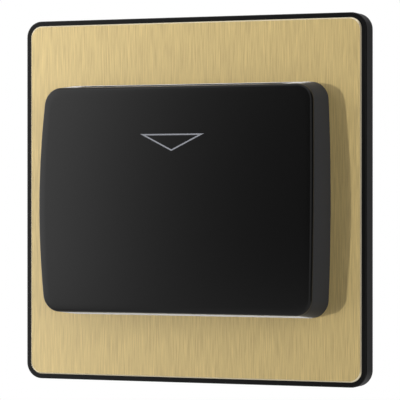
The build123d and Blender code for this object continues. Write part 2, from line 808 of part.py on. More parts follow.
terminal_tip_depth = wire_bore_depth + wire_bore_radius + terminal_screw_reach
with BuildPart() as wire_terminals:
    with BuildSketch(wall_plane(-terminal_front_depth)):
        with Locations(*terminal_places):
            Rectangle(terminal_size, terminal_length)
    extrude(amount=-terminal_size)
    with BuildSketch(wall_plane(-terminal_front_depth)):
        with Locations(*terminal_places):
            Circle(contact_pin_radius)
    extrude(amount=terminal_front_depth - board_depth + pin_stub)
    with BuildSketch(Plane.XY.offset(terminal_z - terminal_length / 2)):
        for x, z in terminal_places:
            with Locations((x, wire_bore_depth)):
                Circle(wire_bore_radius)
    extrude(amount=terminal_length, mode=Mode.SUBTRACT)
    with BuildSketch(wall_plane(-terminal_back_depth)):
        with Locations(*terminal_places):
            Circle(terminal_screw_radius + thread_fit)
    extrude(amount=terminal_back_depth - wire_bore_depth, mode=Mode.SUBTRACT)
wire_terminals.part.label = "wire_terminals"
export_step(wire_terminals.part, "parts/wire_terminals.step")

with BuildPart() as terminal_screws:
    add(screw_group(wall_plane(-terminal_back_depth), terminal_places, terminal_screw_radius,
                    terminal_back_depth - terminal_tip_depth, terminal_head_radius,
                    terminal_head_height))
terminal_screws.part.label = "terminal_screws"
export_step(terminal_screws.part, "parts/terminal_screws.step")

# Rear housing: the box that closes the module, with a window for the terminal block
with BuildPart() as rear_housing:
    with BuildSketch(wall_plane(0)):
        RectangleRounded(housing_width, housing_height, housing_corner)
    extrude(amount=-housing_depth)
    fillet(rear_housing.faces().sort_by(Axis.Y)[-1].edges(), housing_back_round)
    with BuildSketch(wall_plane(0)):
        RectangleRounded(housing_width - 2 * housing_wall, housing_height - 2 * housing_wall,
                         housing_corner - housing_wall)
    extrude(amount=-(housing_depth - housing_wall), mode=Mode.SUBTRACT)
    with BuildSketch(wall_plane(-board_back)):
        with Locations(*column_places):
            Circle(housing_column_radius)
    extrude(amount=-(housing_depth - housing_wall - board_back + column_sink))
    with BuildSketch(wall_plane(-board_back)):
        with Locations(*column_places):
            Circle(housing_screw_radius + hole_fit)
    extrude(amount=-(housing_depth - board_back), mode=Mode.SUBTRACT)
    with BuildSketch(wall_plane(-housing_depth)):
        with Locations(*column_places):
            Circle(counterbore_radius)
    extrude(amount=counterbore_depth, mode=Mode.SUBTRACT)
    with BuildSketch(wall_plane(-housing_depth)):
        with Locations((0, terminal_z)):
            Rectangle(terminal_body_width + 2 * terminal_fit, terminal_body_height + 2 * terminal_fit)
    extrude(amount=housing_wall, mode=Mode.SUBTRACT)
    with BuildSketch(Plane.XY.offset(-housing_height / 2)):
        with Locations((0, wire_bore_depth)):
            Rectangle(terminal_body_width, wire_slot_width)
    extrude(amount=housing_wall, mode=Mode.SUBTRACT)
rear_housing.part.label = "rear_housing"
export_step(rear_housing.part, "parts/rear_housing.step")

with BuildPart() as housing_screws:
    add(screw_group(wall_plane(-(housing_depth - counterbore_depth)), column_places,
                    housing_screw_radius, housing_screw_length,
                    housing_screw_radius * head_ratio, housing_screw_radius * head_height_ratio))
housing_screws.part.label = "housing_screws"
export_step(housing_screws.part, "parts/housing_screws.step")
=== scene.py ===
# Key card switch: brushed metal plate in a black surround, with a black card cover on it.
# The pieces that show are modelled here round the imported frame, the others get their finishes.

import json
import math

import bpy
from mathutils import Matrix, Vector


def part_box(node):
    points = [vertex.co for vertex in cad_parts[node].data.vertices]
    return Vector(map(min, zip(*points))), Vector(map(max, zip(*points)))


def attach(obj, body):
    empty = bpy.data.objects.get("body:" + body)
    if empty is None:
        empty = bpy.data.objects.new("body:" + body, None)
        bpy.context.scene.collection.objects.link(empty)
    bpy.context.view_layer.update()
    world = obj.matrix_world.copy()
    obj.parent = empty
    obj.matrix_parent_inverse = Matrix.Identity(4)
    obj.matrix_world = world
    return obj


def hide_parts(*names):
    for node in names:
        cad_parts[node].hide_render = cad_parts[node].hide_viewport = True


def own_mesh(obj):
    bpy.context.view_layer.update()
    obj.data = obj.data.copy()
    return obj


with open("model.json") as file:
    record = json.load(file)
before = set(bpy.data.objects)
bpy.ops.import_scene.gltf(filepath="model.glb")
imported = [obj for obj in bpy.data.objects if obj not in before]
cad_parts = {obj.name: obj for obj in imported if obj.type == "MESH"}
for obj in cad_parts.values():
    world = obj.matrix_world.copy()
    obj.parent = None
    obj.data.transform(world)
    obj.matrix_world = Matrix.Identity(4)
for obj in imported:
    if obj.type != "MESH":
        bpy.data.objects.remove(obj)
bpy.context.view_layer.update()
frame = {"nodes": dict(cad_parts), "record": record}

mm = 0.001
nodes = frame["nodes"]
scene = bpy.context.scene
coverLow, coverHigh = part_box("card_cover")
plateLow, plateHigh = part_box("face_plate")
surroundLow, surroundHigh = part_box("surround_frame")


# Small helpers for modelling

def deselectAll():
    if bpy.context.object and bpy.context.object.mode != "OBJECT":
        bpy.ops.object.mode_set(mode="OBJECT")
    bpy.ops.object.select_all(action="DESELECT")


def makeActive(piece):
    deselectAll()
    piece.select_set(True)
    bpy.context.view_layer.objects.active = piece


def newest(name):
    piece = bpy.context.object
    piece.name = name
    piece.data.name = name
    return piece


def editMode():
    bpy.ops.object.mode_set(mode="EDIT")


def objectMode():
    bpy.ops.object.mode_set(mode="OBJECT")


def selectFaces(piece, test):
    # faces are picked by a test of their centre and normal
    editMode()
    bpy.ops.mesh.select_mode(type="FACE")
    bpy.ops.mesh.select_all(action="DESELECT")
    objectMode()
    for face in piece.data.polygons:
        face.select = bool(test(face.center, face.normal))
    editMode()


def applyPlace(piece):
    makeActive(piece)
    bpy.ops.object.transform_apply(location=True, rotation=True, scale=True)


def applyModifiers(piece):
    makeActive(piece)
    for modifier in list(piece.modifiers):
        bpy.ops.object.modifier_apply(modifier=modifier.name)


def mendNormals(piece):
    # doubles are merged first, then all faces turn outwards
    makeActive(piece)
    editMode()
    bpy.ops.mesh.select_all(action="SELECT")
    bpy.ops.mesh.remove_doubles(threshold=0.001 * mm)
    bpy.ops.mesh.normals_make_consistent(inside=False)
    objectMode()


def smoothTo(piece, degrees):
    makeActive(piece)
    bpy.ops.object.shade_smooth_by_angle(angle=math.radians(degrees))


def combine(piece, other, operation):
    cut = piece.modifiers.new(operation.lower(), "BOOLEAN")
    cut.operation = operation
    cut.solver = "EXACT"
    cut.object = other
    applyModifiers(piece)
    bpy.data.objects.remove(other, do_unlink=True)


def addBlock(name, low, high):
    # a block between two corners, in millimetres
    deselectAll()
    centre = [(a + b) / 2 * mm for a, b in zip(low, high)]
    bpy.ops.mesh.primitive_cube_add(size=1, location=centre)
    block = newest(name)
    block.scale = [(b - a) * mm for a, b in zip(low, high)]
    applyPlace(block)
    return block


# Shader maths: a wrapped socket, so that sums and products of values add Math nodes

class Wire:
    def __init__(self, tree, socket=None):
        self.tree = tree
        self.socket = socket

    def node(self, kind, settings=None, inputs=None, output=0):
        made = self.tree.nodes.new("ShaderNode" + kind)
        for name, value in (settings or {}).items():
            if name == "stops":
                ramp = made.color_ramp.elements
                for place, colour in value[len(ramp):]:
                    ramp.new(place)
                for stop, (place, colour) in zip(ramp, value):
                    stop.position = place
                    stop.color = colour
            else:
                setattr(made, name, value)
        for name, value in (inputs or {}).items():
            if isinstance(value, Wire):
                self.tree.links.new(value.socket, made.inputs[name])
            else:
                made.inputs[name].default_value = value
        return Wire(self.tree, made.outputs[output] if made.outputs else None)

    def maths(self, operation, first, second=0.0):
        return self.node("Math", {"operation": operation}, {0: first, 1: second})

    def __add__(self, other):
        return self.maths("ADD", self, other)

    __radd__ = __add__

    def __sub__(self, other):
        return self.maths("SUBTRACT", self, other)

    def __rsub__(self, other):
        return self.maths("SUBTRACT", other, self)

    def __mul__(self, other):
        return self.maths("MULTIPLY", self, other)

    __rmul__ = __mul__

    def __truediv__(self, other):
        return self.maths("DIVIDE", self, other)

    def clamped(self):
        return self.node("Clamp", None, {"Value": self})

    def place(self, scale=(1, 1, 1)):
        # where a point lies in the object, stretched by the scale
        spot = self.node("TexCoord", None, None, 3)
        return self.node("Mapping", None, {"Vector": spot, "Scale": scale})

    def along(self, axis):
        # one coordinate of a point in the object
        return self.node("SeparateXYZ", None, {"Vector": self.place()}, axis)

    def noise(self, scale, detail=2.0, rough=0.5):
        # grains per metre along each axis
        return self.node("TexNoise", None, {"Vector": self.place(scale), "Scale": 1.0,
                                            "Detail": detail, "Roughness": rough})

    def grain(self, scale):
        # noise with more detail in it
        return self.noise(scale, 3.0, 0.6)

    def ray(self, kind):
        # 1 for rays of that kind, 0 for others
        return self.node("LightPath", None, None, f"Is {kind} Ray")

    def blend(self, mask, first, second):
        # colours are mixed by the mask
        return self.node("Mix", {"data_type": "RGBA"},
                         {"Factor": mask, "A": first, "B": second}, 2)


def rgba(colour):
    return (*colour, 1.0)


def grey(tone):
    return rgba([tone] * 3)


def shaded(colour, factor):
    return rgba([min(1.0, part * factor) for part in colour])


def emptyTree(owner):
    # the nodes of a material or a world, cleared
    owner.use_nodes = True
    owner.node_tree.nodes.clear()
    return Wire(owner.node_tree)


def startMaterial(name):
    material = bpy.data.materials.new(name)
    return material, emptyTree(material)


def endMaterial(wire, shader):
    wire.node("OutputMaterial", None, {"Surface": shader})


def principled(wire, inputs, grain, depth):
    # the grain, a height between 0 and 1, is raised by the depth in metres
    inputs["Normal"] = wire.node("Bump", None, {"Height": grain, "Distance": depth})
    endMaterial(wire, wire.node("BsdfPrincipled", None, inputs))


# Finish of the metal face: upright brush lines in a warm film under lacquer, and a bare cut edge

brassLook = {
    "film": (0.532, 0.4, 0.162),
    "filmMetal": 0.38,
    "filmRough": 0.3,
    "lacquerIor": 1.68,
    "lacquerRough": 0.25,
    "bare": (0.86, 0.76, 0.54),
    "bareMetal": 0.9,
    "bareRough": 0.38,
    "lineSwing": 0.2,
    "lineContrast": 3.2,
    "fineShare": 0.97,
    "fineLine": (7000, 7000, 120),
    "broadLine": (3000, 3000, 40),
    "roughSwing": 0.1,
    "lineDepth": 0.004 * mm,
    "chamfer": 0.3 * mm,
    "corner": 3.0 * mm,
    "edgeBlend": 0.03 * mm,
}


def brassMaterial(look):
    material, wire = startMaterial("faceBrass")
    fine = wire.grain(look["fineLine"])
    broad = wire.noise(look["broadLine"])
    mixed = fine * look["fineShare"] + broad * (1 - look["fineShare"])
    lines = (mixed - 0.5) * look["lineContrast"] + 0.5
    film = wire.blend(lines.clamped(), shaded(look["film"], 1 - look["lineSwing"]),
                      shaded(look["film"], 1 + look["lineSwing"]))
    # the chamfer is what lies outside the rounded square of the flat front
    inner = plateHigh[0] - look["chamfer"] - look["corner"]
    far = [wire.maths("MAXIMUM", wire.maths("ABSOLUTE", wire.along(axis)) - inner, 0.0)
           for axis in "XZ"]
    reach = wire.maths("SQRT", far[0] * far[0] + far[1] * far[1])
    edge = ((reach - look["corner"]) / look["edgeBlend"]).clamped()
    principled(wire, {
        "Base Color": wire.blend(edge, film, rgba(look["bare"])),
        "Metallic": look["filmMetal"] + edge * (look["bareMetal"] - look["filmMetal"]),
        "Roughness": look["filmRough"] + (fine - 0.5) * look["roughSwing"]
        + edge * (look["bareRough"] - look["filmRough"]),
        "Coat Weight": 1 - edge,
        "Coat IOR": look["lacquerIor"],
        "Coat Roughness": look["lacquerRough"],
    }, fine, look["lineDepth"])
    return material


# Moulded and dipped finishes share one recipe: a mottled colour, a moving gloss and a fine grain

mouldLook = {
    "patch": (90, 90, 90),
    "patchShare": 0.6,
    "patchGloss": 0.12,
    "grainGloss": 0.06,
    "coatRough": 0.12,
}


def mouldedMaterial(name, colour, rough, grain=1500, depth=0.01, mottle=0.08, coat=0.0):
    # grains per metre, and their depth in millimetres
    look = mouldLook
    material, wire = startMaterial(name)
    fine = wire.grain([grain] * 3)
    broad = wire.noise(look["patch"])
    tone = (broad * look["patchShare"] + fine * (1 - look["patchShare"])).clamped()
    inputs = {
        "Base Color": wire.blend(tone, shaded(colour, 1 - mottle), shaded(colour, 1 + mottle)),
        "Roughness": rough + (broad - 0.5) * look["patchGloss"] + (fine - 0.5) * look["grainGloss"],
    }
    if coat:
        inputs["Coat Weight"] = coat
        inputs["Coat Roughness"] = look["coatRough"]
    principled(wire, inputs, fine, depth * mm)
    return material


# Black mouldings are polished on their front and matt on the sides where they left the mould. The
# sides' colour is painted lighter than the front's, as painted light on the flanks, and on the
# cover it is also bluer, to cancel the warm painted-over reflection of the brass in its sides

coverCrown = {
    "across": 522 * mm,
    "upright": 209 * mm,
    "apexZ": -4.1 * mm,
}
coverLook = {
    "front": (0.0012, 0.0012, 0.0012),
    "frontRough": 0.3,
    # painted light: the sides are coloured lighter and bluer than the front, standing in for the
    # light on the flanks and cancelling the brass's warm reflection in them
    "side": (0.0225, 0.0245, 0.029),
    "sideRough": 0.75,
    "specular": 0.25,
    "sheen": 0.32,
    "sheenRough": 0.2,
    "frontY": coverLow[1],
    "crown": coverCrown,
    "mattFrom": 0.75 * mm,
    "mattBlend": 0.35 * mm,
    "grain": (2600, 2600, 2600),
    "grainGloss": 0.06,
    "grainDepth": 0.003 * mm,
}
surroundLook = {
    "front": (0.001, 0.001, 0.001),
    "frontRough": 0.3,
    # painted light: the sides are coloured lighter than the front, standing in for the light on the
    # flanks
    "side": (0.012, 0.012, 0.0125),
    "sideRough": 0.6,
    "specular": 0.22,
    "sheen": 0.0,
    "sheenRough": 0.2,
    "frontY": surroundLow[1],
    "crown": {"across": 9.0, "upright": 9.0, "apexZ": 0.0},
    "mattFrom": 0.02 * mm,
    "mattBlend": 0.12 * mm,
    "grain": (1800, 1800, 450),
    "grainGloss": 0.06,
    "grainDepth": 0.003 * mm,
}


def polishedMaterial(name, look):
    # how deep a point lies behind the crowned front says if it is on the front or on a side
    material, wire = startMaterial(name)
    fine = wire.grain(look["grain"])
    crown = look["crown"]
    x = wire.along("X")
    z = wire.along("Z") - crown["apexZ"]
    fall = x * x * (0.5 / crown["across"]) + z * z * (0.5 / crown["upright"])
    depth = wire.along("Y") - look["frontY"] - fall
    matt = ((depth - look["mattFrom"]) / look["mattBlend"]).clamped()
    principled(wire, {
        # the lighter side colour is painted light on the flanks, mixed in by the same mask as the
        # matt finish
        "Base Color": wire.blend(matt, rgba(look["front"]), rgba(look["side"])),
        "Roughness": look["frontRough"] + matt * (look["sideRough"] - look["frontRough"])
        + (fine - 0.5) * look["grainGloss"],
        "Specular IOR Level": look["specular"],
        "Sheen Weight": look["sheen"],
        "Sheen Roughness": look["sheenRough"],
    }, fine, look["grainDepth"])
    return material


# Small metal parts: stained a little, and drawn or turned where the streak is uneven

metalLook = {
    "grain": 2500,
    "patch": 220,
    "stain": 0.12,
    "patchGloss": 0.2,
    "grainDepth": 0.004 * mm,
}


def metalMaterial(name, colour, rough, streak=(1, 1, 1)):
    look = metalLook
    material, wire = startMaterial(name)
    fine = wire.grain([look["grain"] * part for part in streak])
    broad = wire.noise([look["patch"] * part for part in streak])
    tone = (broad * 0.5 + fine * 0.5).clamped()
    principled(wire, {
        "Base Color": wire.blend(tone, shaded(colour, 1 - look["stain"]),
                                 shaded(colour, 1 + look["stain"])),
        "Metallic": 1.0,
        "Roughness": rough + (broad - 0.5) * look["patchGloss"],
    }, fine, look["grainDepth"])
    return material


# Board: green lacquer over the weave of the laminate, with paler copper runs under it

boardLook = {
    "lacquer": (0.02, 0.16, 0.06),
    "overCopper": (0.05, 0.27, 0.11),
    "weave": (0.03, 0.2, 0.08),
    "weaveShare": 0.3,
    "weaveScale": 600.0,
    "weaveDepth": 0.003 * mm,
    "runScale": 60.0,
    "runGap": 0.03,
    "rough": 0.35,
    "weaveGloss": 0.06,
}


def boardMaterial(look):
    material, wire = startMaterial("boardLaminate")
    threads = [wire.node("TexWave", {"bands_direction": axis},
                         {"Vector": wire.place(), "Scale": look["weaveScale"]}) for axis in "XZ"]
    weave = threads[0] * 0.5 + threads[1] * 0.5
    runs = wire.node("TexBrick", None, {"Vector": wire.place(), "Scale": look["runScale"],
                                        "Mortar Size": look["runGap"]}, 1)
    base = wire.blend(runs, rgba(look["lacquer"]), rgba(look["overCopper"]))
    principled(wire, {
        "Base Color": wire.blend(weave * look["weaveShare"], base, rgba(look["weave"])),
        "Roughness": look["rough"] + weave * look["weaveGloss"],
    }, weave, look["weaveDepth"])
    return material


finishes = {
    "surround_plastic": polishedMaterial("surroundPlastic", surroundLook),
    "face_brass": brassMaterial(brassLook),
    "cover_plastic": polishedMaterial("coverPlastic", coverLook),
    "arrow_print": mouldedMaterial("arrowPrint", (0.175, 0.18, 0.2), 0.6, 3000, 0.004),
    "zinc_steel": metalMaterial("zincSteel", (0.62, 0.63, 0.62), 0.34),
    "guide_plastic": mouldedMaterial("guidePlastic", (0.02, 0.02, 0.021), 0.5),
    "frame_plastic": mouldedMaterial("framePlastic", (0.5, 0.5, 0.48), 0.5, 1200, 0.012, 0.05),
    "housing_plastic": mouldedMaterial("housingPlastic", (0.66, 0.65, 0.61), 0.48, 1200, 0.012,
                                       0.05),
    "lever_plastic": mouldedMaterial("leverPlastic", (0.7, 0.7, 0.67), 0.3, 900, 0.004, 0.04),
    "pin_steel": metalMaterial("pinSteel", (0.56, 0.56, 0.57), 0.22, (0.08, 1, 1)),
    "spring_steel": metalMaterial("springSteel", (0.5, 0.5, 0.51), 0.26),
    "microswitch_plastic": mouldedMaterial("microswitchPlastic", (0.03, 0.03, 0.034), 0.45),
    "button_plastic": mouldedMaterial("buttonPlastic", (0.55, 0.035, 0.03), 0.3, 900, 0.004),
    "tinned_brass": metalMaterial("tinnedBrass", (0.6, 0.58, 0.54), 0.32),
    "board_laminate": boardMaterial(boardLook),
    "relay_plastic": mouldedMaterial("relayPlastic", (0.02, 0.09, 0.26), 0.36, 1200, 0.006),
    "film_plastic": mouldedMaterial("filmPlastic", (0.6, 0.4, 0.05), 0.25, 900, 0.006, coat=0.4),
    "capacitor_sleeve": mouldedMaterial("capacitorSleeve", (0.02, 0.02, 0.04), 0.25, 700, 0.01),
    "varistor_coat": mouldedMaterial("varistorCoat", (0.04, 0.1, 0.34), 0.22, 700, 0.02, coat=0.5),
    "fuse_ceramic": mouldedMaterial("fuseCeramic", (0.62, 0.6, 0.54), 0.4, 2000, 0.008),
    "chip_plastic": mouldedMaterial("chipPlastic", (0.018, 0.018, 0.019), 0.55, 3000, 0.008),
    "resistor_coat": mouldedMaterial("resistorCoat", (0.5, 0.38, 0.22), 0.35, 900, 0.008, coat=0.3),
    "terminal_plastic": mouldedMaterial("terminalPlastic", (0.07, 0.075, 0.08), 0.45),
    "terminal_brass": metalMaterial("terminalBrass", (0.7, 0.52, 0.25), 0.3),
}
print("finishes made:", len(finishes))


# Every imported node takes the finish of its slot

slotOf = {part["node"]: part["material_slot"] for part in frame["record"]["subparts"]}
for nodeName, node in nodes.items():
    for place in node.material_slots:
        place.material = finishes[slotOf[nodeName]]
print("nodes dressed:", len(nodes))


def dress(piece, slotName):
    piece.data.materials.clear()
    piece.data.materials.append(finishes[slotName])


# Card cover: its front is a grid laid on the crown, and the sides are drawn out from its edge

cover = {
    "baseWide": coverHigh[0] - coverLow[0],
    "baseTall": coverHigh[2] - coverLow[2],
    "apexY": coverLow[1],
    "baseY": plateLow[1],
    "draftWide": 0.44 * mm,
    "draftTall": 1.3 * mm,
    "baseBow": 0.75 * mm,
    "frontBow": 1.1 * mm,
    "baseCorner": 4.8 * mm,
    "frontCorner": 4.3 * mm,
    "edgeRound": 0.7 * mm,
    "edgeTurns": 6,
    "inwardStep": 0.1 * mm,
    "wall": 2.0 * mm,
    "halfCells": (26, 22),
    "arcCells": 7,
    "roundSteps": 6,
    "sideSteps": 5,
    "smooth": 32,
}


def crownY(x, z):
    # the crown is turned from an upright arc, so each level is a circle
    upright = coverCrown["upright"]
    arc = cover["apexY"] + upright - math.sqrt(upright ** 2 - (z - coverCrown["apexZ"]) ** 2)
    axisY = cover["apexY"] + coverCrown["across"]
    return axisY - math.sqrt((axisY - arc) ** 2 - x ** 2)


def outlinePoint(u, v, wide, tall, bow, corner):
    # u and v lie on the edge of a square of half 1; returns a point and its outward direction
    radius = (tall ** 2 / 4 + bow ** 2) / (2 * bow)
    sideX = wide / 2 - radius
    cornerZ = tall / 2 - corner
    cornerX = sideX + math.sqrt((radius - corner) ** 2 - cornerZ ** 2)
    sideAngle = math.atan2(cornerZ, cornerX - sideX)
    middle = (sideAngle + math.pi / 2) / 2
    cellsX, cellsZ = cover["halfCells"]
    onTop = abs(v) >= abs(u) - 1e-9 and abs(v) > 1 - 1e-6
    if onTop:
        straight = 1 - cover["arcCells"] / cellsX
        along = abs(u)
        if along <= straight:
            spot, out = (cornerX * along / straight, tall / 2), (0.0, 1.0)
        else:
            share = (along - straight) / (1 - straight)
            angle = math.pi / 2 + (middle - math.pi / 2) * share
            out = (math.cos(angle), math.sin(angle))
            spot = (cornerX + corner * out[0], cornerZ + corner * out[1])
    else:
        straight = 1 - cover["arcCells"] / cellsZ
        along = abs(v)
        if along <= straight:
            angle = sideAngle * along / straight
            out = (math.cos(angle), math.sin(angle))
            spot = (sideX + radius * out[0], radius * out[1])
        else:
            share = (along - straight) / (1 - straight)
            angle = sideAngle + (middle - sideAngle) * share
            out = (math.cos(angle), math.sin(angle))
            spot = (cornerX + corner * out[0], cornerZ + corner * out[1])
    signU = -1 if u < 0 else 1
    signV = -1 if v < 0 else 1
    return (spot[0] * signU, spot[1] * signV), (out[0] * signU, out[1] * signV)


def coverEdge(u, v):
    # where the side meets the crown, with the directions inward on the crown and down the side
    base, out = outlinePoint(u, v, cover["baseWide"], cover["baseTall"], cover["baseBow"],
                             cover["baseCorner"])
    front, frontOut = outlinePoint(u, v, cover["baseWide"] - 2 * cover["draftWide"],
                                   cover["baseTall"] - 2 * cover["draftTall"], cover["frontBow"],
                                   cover["frontCorner"])
    foot = Vector((base[0], cover["baseY"], base[1]))
    top = Vector((front[0], cover["apexY"], front[1]))
    edge = top.copy()
    for turn in range(cover["edgeTurns"]):
        share = (crownY(edge.x, edge.z) - foot.y) / (top.y - foot.y)
        edge = foot.lerp(top, share)
    inX = edge.x - frontOut[0] * cover["inwardStep"]
    inZ = edge.z - frontOut[1] * cover["inwardStep"]
    inward = (Vector((inX, crownY(inX, inZ), inZ)) - edge).normalized()
    down = (foot - edge).normalized()
    return foot, edge, inward, down


def coverPoint(u, level, v):
    reach = max(abs(u), abs(v))
    radius = cover["edgeRound"]
    if reach < 1e-6:
        return Vector((0, crownY(0, 0), 0))
    foot, edge, inward, down = coverEdge(u / reach, v / reach)
    if level == 0:
        rim = edge + inward * radius
        x, z = rim.x * reach, rim.z * reach
        return Vector((x, crownY(x, z), z))
    if level <= cover["roundSteps"]:
        angle = math.pi / 2 * level / cover["roundSteps"]
        centre = edge + (inward + down) * radius
        return centre - (down * math.cos(angle) + inward * math.sin(angle)) * radius
    share = (level - cover["roundSteps"]) / cover["sideSteps"]
    return (edge + down * radius).lerp(foot, share)


def makeCover():
    cellsX, cellsZ = cover["halfCells"]
    deselectAll()
    bpy.ops.mesh.primitive_grid_add(x_subdivisions=2 * cellsX, y_subdivisions=2 * cellsZ, size=2,
                                    rotation=(math.radians(90), 0, 0))
    shell = newest("cardCover")
    applyPlace(shell)
    editMode()
    bpy.ops.mesh.select_mode(type="EDGE")
    bpy.ops.mesh.select_all(action="SELECT")
    bpy.ops.mesh.region_to_loop()
    for step in range(cover["roundSteps"] + cover["sideSteps"]):
        bpy.ops.mesh.extrude_region_move(TRANSFORM_OT_translate={"value": (0, 1, 0)})
    objectMode()
    for point in shell.data.vertices:
        u, level, v = point.co
        point.co = coverPoint(u, round(level), v)
    mendNormals(shell)
    thick = shell.modifiers.new("wall", "SOLIDIFY")
    thick.thickness = cover["wall"]
    thick.offset = -1
    thick.use_even_offset = True
    applyModifiers(shell)
    return shell


cardCover = makeCover()
print("cover shell:", len(cardCover.data.polygons))


# Inside of the cover: ribs that the card slides on, and the posts for its screws

innards = {
    "ribX": (9.0, 24.0),
    "ribWide": 1.2,
    "ribLowZ": -14.0,
    "ribTopZ": 25.25,
    "pocketFront": 14.4,
    "postPlaces": [(x, z) for x in (-32.0, 32.0) for z in (-22.75, 22.75)],
    "postSides": 40,
    "postRadius": 2.6,
    "postFoot": 4.65,
    "guidePosts": [(-32.6, 0.0), (32.6, 0.0)],
    "guidePostRadius": 2.2,
    "guidePostFoot": 9.4,
    "holeInset": 0.58,
    "holeDeep": 5.0,
    "into": 1.0,
}


def addPost(x, z, radius, foot):
    # a post from its foot to just inside the cover's front wall, with a screw hole in its foot
    top = -crownY(x * mm, z * mm) / mm - innards["into"]
    deselectAll()
    bpy.ops.mesh.primitive_cylinder_add(vertices=innards["postSides"], radius=radius * mm,
                                        depth=(top - foot) * mm,
                                        location=(x * mm, -(top + foot) / 2 * mm, z * mm),
                                        rotation=(math.radians(90), 0, 0))
    post = newest("post")
    applyPlace(post)
    selectFaces(post, lambda centre, normal: normal.y > 0.9)
    bpy.ops.mesh.inset(thickness=radius * innards["holeInset"] * mm)
    bpy.ops.mesh.extrude_region_move(
        TRANSFORM_OT_translate={"value": (0, -innards["holeDeep"] * mm, 0)})
    objectMode()
    return post


def addRib(x):
    half = innards["ribWide"] / 2
    top = min(-crownY(x * mm, z * mm) / mm for z in (innards["ribLowZ"], innards["ribTopZ"]))
    return addBlock("rib", (x - half, -top + innards["into"], innards["ribLowZ"]),
                    (x + half, -innards["pocketFront"], innards["ribTopZ"]))


for x in innards["ribX"]:
    combine(cardCover, addRib(x), "UNION")
    combine(cardCover, addRib(-x), "UNION")
for x, z in innards["postPlaces"]:
    combine(cardCover, addPost(x, z, innards["postRadius"], innards["postFoot"]), "UNION")
for x, z in innards["guidePosts"]:
    combine(cardCover, addPost(x, z, innards["guidePostRadius"], innards["guidePostFoot"]),
            "UNION")
print("ribs and posts joined:", len(cardCover.data.polygons))


# Card slot in the top, with a lead-in that widens towards the outside

slot = {
    "halfWide": 28.09,
    "back": 9.4,
    "front": 14.4,
    "lowZ": 25.05,
    "leadZ": 28.45,
    "topZ": 30.45,
    "leadAngle": 30,
}


def makeSlotCutter():
    cutter = addBlock("slotCutter", (-slot["halfWide"], -slot["front"], slot["lowZ"]),
                      (slot["halfWide"], -slot["back"], slot["leadZ"]))
    rise = slot["topZ"] - slot["leadZ"]
    spread = rise * math.tan(math.radians(slot["leadAngle"]))
    wide = 2 * slot["halfWide"]
    deep = slot["front"] - slot["back"]
    selectFaces(cutter, lambda centre, normal: normal.z > 0.9)
    bpy.ops.mesh.extrude_region_move(TRANSFORM_OT_translate={"value": (0, 0, rise * mm)})
    bpy.ops.transform.resize(value=(1 + 2 * spread / wide, 1 + 2 * spread / deep, 1),
                             center_override=(0, -(slot["front"] + slot["back"]) / 2 * mm, 0))
    objectMode()
    return cutter


combine(cardCover, makeSlotCutter(), "DIFFERENCE")
smoothTo(cardCover, cover["smooth"])
dress(cardCover, "cover_plastic")
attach(cardCover, "switch_base")
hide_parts("card_cover")
print("cover done:", len(cardCover.data.polygons))


# Arrow: the outline of a flat triangle, printed on the crown as a thin film

arrow = {
    "wide": 16.0,
    "topZ": 16.65,
    "tipZ": 12.65,
    "line": 0.35,
    "film": 0.03,
    "sunk": 0.12,
    "cuts": 9,
    "smooth": 30,
}


def makeArrow():
    half, top, tip = arrow["wide"] / 2, arrow["topZ"], arrow["tipZ"]
    side = math.hypot(half, top - tip)
    around = arrow["wide"] + 2 * side
    inRadius = arrow["wide"] * (top - tip) / around
    centreZ = (arrow["wide"] * tip + 2 * side * top) / around
    grow = (inRadius + arrow["line"] / 2) / inRadius
    deselectAll()
    bpy.ops.mesh.primitive_circle_add(vertices=3, radius=1, fill_type="NGON",
                                      rotation=(math.radians(90), 0, 0))
    mark = newest("arrowMark")
    applyPlace(mark)
    corners = ((-half, top), (half, top), (0, tip))
    for point, (x, z) in zip(mark.data.vertices, corners):
        point.co = (x * grow * mm, 0, (centreZ + (z - centreZ) * grow) * mm)
    mendNormals(mark)
    editMode()
    bpy.ops.mesh.select_all(action="SELECT")
    bpy.ops.mesh.inset(thickness=arrow["line"] * mm, use_even_offset=True)
    bpy.ops.mesh.delete(type="FACE")
    bpy.ops.mesh.select_all(action="SELECT")
    bpy.ops.mesh.subdivide(number_cuts=arrow["cuts"])
    bpy.ops.mesh.extrude_region_move(
        TRANSFORM_OT_translate={"value": (0, (arrow["film"] + arrow["sunk"]) * mm, 0)})
    objectMode()
    for point in mark.data.vertices:
        point.co.y += crownY(point.co.x, point.co.z) - arrow["film"] * mm
    mendNormals(mark)
    return mark


arrowMark = makeArrow()
smoothTo(arrowMark, arrow["smooth"])
dress(arrowMark, "arrow_print")
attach(arrowMark, "switch_base")
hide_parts("arrow_mark")
print("arrow done:", len(arrowMark.data.polygons))


# Return spring: a wire ring drawn round by a screw, with its two ends closed.

springLow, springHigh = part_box("return_spring")
spring = {
    "wire": 0.4 * mm,
    "turns": 6,
    "ringPoints": 12,
    "turnSteps": 28,
    "keep": 0.795,
    "smooth": 50,
}


def makeSpring():
    midX = (springLow[0] + springHigh[0]) / 2
    midY = (springLow[1] + springHigh[1]) / 2
    mean = (springHigh[0] - springLow[0] - spring["wire"]) / 2
    rise = springHigh[2] - springLow[2] - spring["wire"]
    deselectAll()
    bpy.ops.mesh.primitive_circle_add(vertices=spring["ringPoints"], radius=spring["wire"] / 2,
                                      location=(mean, 0, 0), rotation=(math.radians(90), 0, 0))
    coil = newest("returnSpring")
    applyPlace(coil)
    turn = coil.modifiers.new("coil", "SCREW")
    turn.axis = "Z"
    turn.iterations = spring["turns"]
    turn.screw_offset = rise / spring["turns"]
    turn.steps = spring["turnSteps"]
    turn.render_steps = spring["turnSteps"]
    applyModifiers(coil)
    editMode()
    bpy.ops.mesh.select_mode(type="EDGE")
    bpy.ops.mesh.select_all(action="DESELECT")
    bpy.ops.mesh.select_non_manifold()
    bpy.ops.mesh.edge_face_add()
    objectMode()
    coil.location = (midX, midY, springLow[2] + spring["wire"] / 2)
    applyPlace(coil)
    mendNormals(coil)
    return coil


